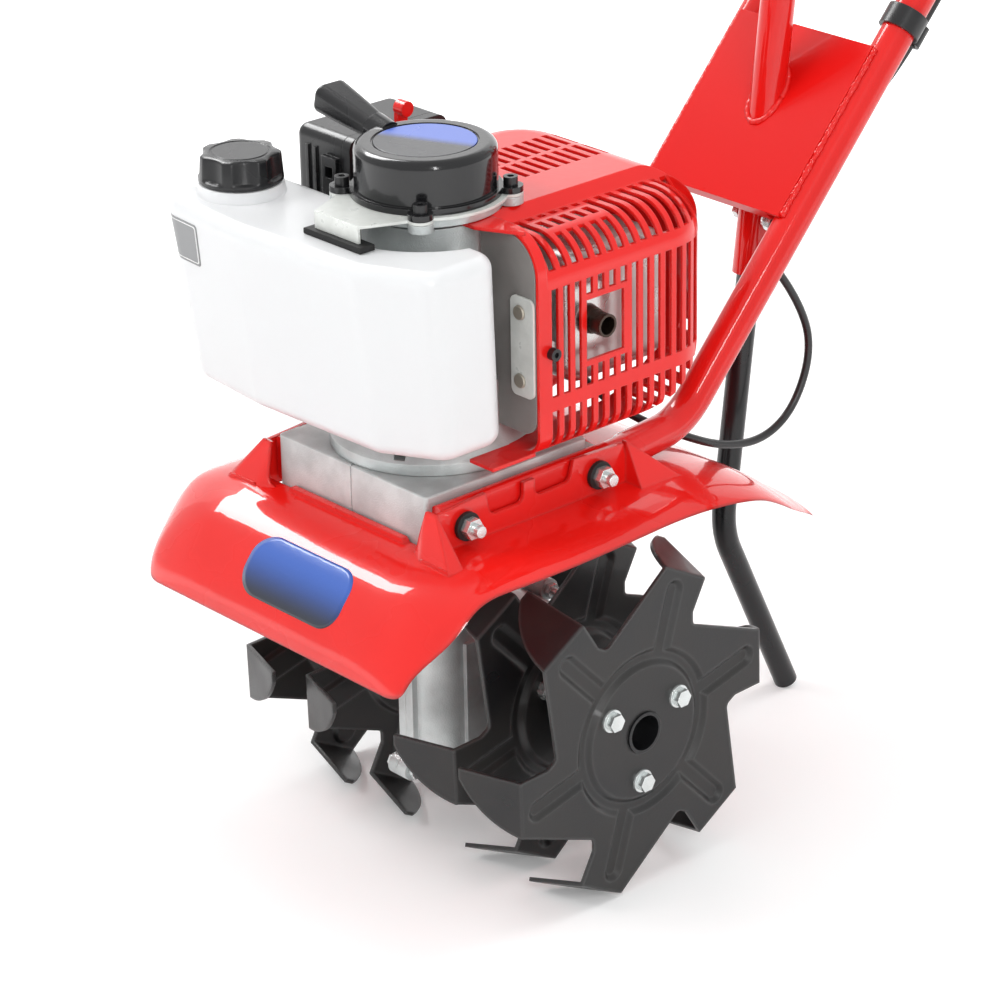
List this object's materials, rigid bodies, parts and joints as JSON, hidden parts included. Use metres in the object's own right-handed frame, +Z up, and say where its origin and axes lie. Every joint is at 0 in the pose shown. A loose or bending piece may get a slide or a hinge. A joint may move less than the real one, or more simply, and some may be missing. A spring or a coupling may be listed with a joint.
{
  "type": "garden tiller",
  "caption": "Walk-behind motor tiller: vertical engine on a worm gearbox, red fender over bent-blade tine discs, bent tube handles and a drag stake.",
  "frame": {"origin": "on the floor, under the middle of the bounding box", "axes": "+Z up, -Y the front (fuel tank end), +Y the operator's end with the grips, +X right as seen from the front"},
  "size_m": [0.503, 0.999, 0.8734],
  "materials": {
    "red_paint": "gloss powder coat",
    "red_plastic": "gloss moulded",
    "black_paint": "satin black coat",
    "black_plastic": "satin moulded",
    "white_plastic": "natural translucent moulding",
    "cast_alu": "cast and milled",
    "zinc": "zinc plated",
    "steel": "machined",
    "dark_steel": "heat darkened",
    "bronze": "machined bronze",
    "rubber": "matt rubber",
    "foam": "open foam",
    "board": "pressed heat board",
    "rope": "braided cord"
  },
  "bodies": {
    "frame": {"gearbox_left": "cast_alu", "gearbox_right": "cast_alu", "gearbox_bolts": "zinc", "shaft_bearings": "steel", "clutch_housing": "cast_alu", "crankcase": "cast_alu", "cylinder": "cast_alu", "spark_plug": "zinc", "muffler": "dark_steel", "engine_cover": "red_plastic", "cover_screw": "black_paint", "heat_shield": "board", "shield_strap": "zinc", "shield_rivets": "zinc", "carburettor": "cast_alu", "filter_base": "black_plastic", "filter_cover": "black_plastic", "filter_foam": "foam", "starter_housing": "black_plastic", "starter_screws": "black_paint", "tank_bracket": "zinc", "tank_pad": "rubber", "fuel_tank": "white_plastic", "fuel_hose": "rubber", "fender": "red_plastic", "fender_bolts": "zinc", "fender_washers": "rubber", "handle_tube_left": "red_paint", "handle_tube_right": "red_paint", "handle_plate": "red_paint", "stake_sleeve": "red_paint", "stake_bolt": "zinc", "throttle_cable": "rubber", "cable_clip": "black_plastic", "grip_left": "rubber", "throttle_grip": "black_plastic"},
    "rotor": {"worm_wheel": "bronze", "tine_shaft": "steel", "tine_right_outer": "black_paint", "tine_right_inner": "black_paint", "tine_left_inner": "black_paint", "tine_left_outer": "black_paint", "tine_hub_right": "black_paint", "tine_hub_left": "black_paint", "tine_bolts": "zinc", "hub_pins": "zinc"},
    "worm": {"worm_shaft": "steel", "clutch_drum": "steel"},
    "crank": {"crankshaft": "steel", "flywheel": "cast_alu", "clutch_shoes": "dark_steel"},
    "grip": {"starter_grip": "black_plastic", "starter_rope": "rope"},
    "pulley": {"starter_pulley": "black_plastic"},
    "cap": {"fuel_cap": "black_plastic"},
    "choke": {"choke_lever": "red_plastic"},
    "trigger": {"throttle_trigger": "red_plastic"},
    "switch": {"stop_switch": "red_plastic"},
    "stake": {"drag_stake": "black_paint"}
  },
  "joints": [
    {"name": "tine_spin", "type": "hinge", "parent": "frame", "child": "rotor", "pos_m": [0, -0.2915, 0.12045], "axis": [1, 0, 0], "continuous": true},
    {"name": "worm_spin", "type": "hinge", "parent": "frame", "child": "worm", "pos_m": [0, -0.3495, 0.12045], "axis": [0, 0, 1], "continuous": true},
    {"name": "crank_spin", "type": "hinge", "parent": "frame", "child": "crank", "pos_m": [0, -0.3495, 0.39045], "axis": [0, 0, 1], "continuous": true},
    {"name": "starter_pull", "type": "slide", "parent": "frame", "child": "grip", "axis": [-0.9744, 0, 0.225], "range_m": [0, 0.6], "stiffness_N_per_m": 4, "springref_m": -0.5, "deforming": ["starter_rope"]},
    {"name": "pulley_turn", "type": "hinge", "parent": "frame", "child": "pulley", "pos_m": [0, -0.3495, 0.50545], "axis": [0, 0, 1], "range_deg": [-5, 1240]},
    {"name": "cap_turn", "type": "hinge", "parent": "frame", "child": "cap", "pos_m": [-0.124, -0.4075, 0.48175], "axis": [0, 0, 1], "range_deg": [0, 720]},
    {"name": "choke_swing", "type": "hinge", "parent": "frame", "child": "choke", "pos_m": [-0.084, -0.3015, 0.48645], "axis": [1, 0, 0], "range_deg": [-50, 0]},
    {"name": "trigger_pull", "type": "hinge", "parent": "frame", "child": "trigger", "pos_m": [0.235, 0.3915, 0.82845], "axis": [1, 0, 0], "range_deg": [0, 12], "stiffness_Nm_per_rad": 0.4, "springref_deg": -11.46},
    {"name": "switch_slide", "type": "slide", "parent": "frame", "child": "switch", "axis": [0, 1, 0], "range_m": [-0.004, 0.004]},
    {"name": "stake_slide", "type": "slide", "parent": "frame", "child": "stake", "axis": [0, 0.1295, 0.9916], "range_m": [-0.045, 0.045]}
  ],
  "couplings": [
    {"joint": "worm_spin", "follows": "tine_spin", "ratio": 36},
    {"joint": "pulley_turn", "follows": "starter_pull", "rad_per_m": 35.714}
  ]
}
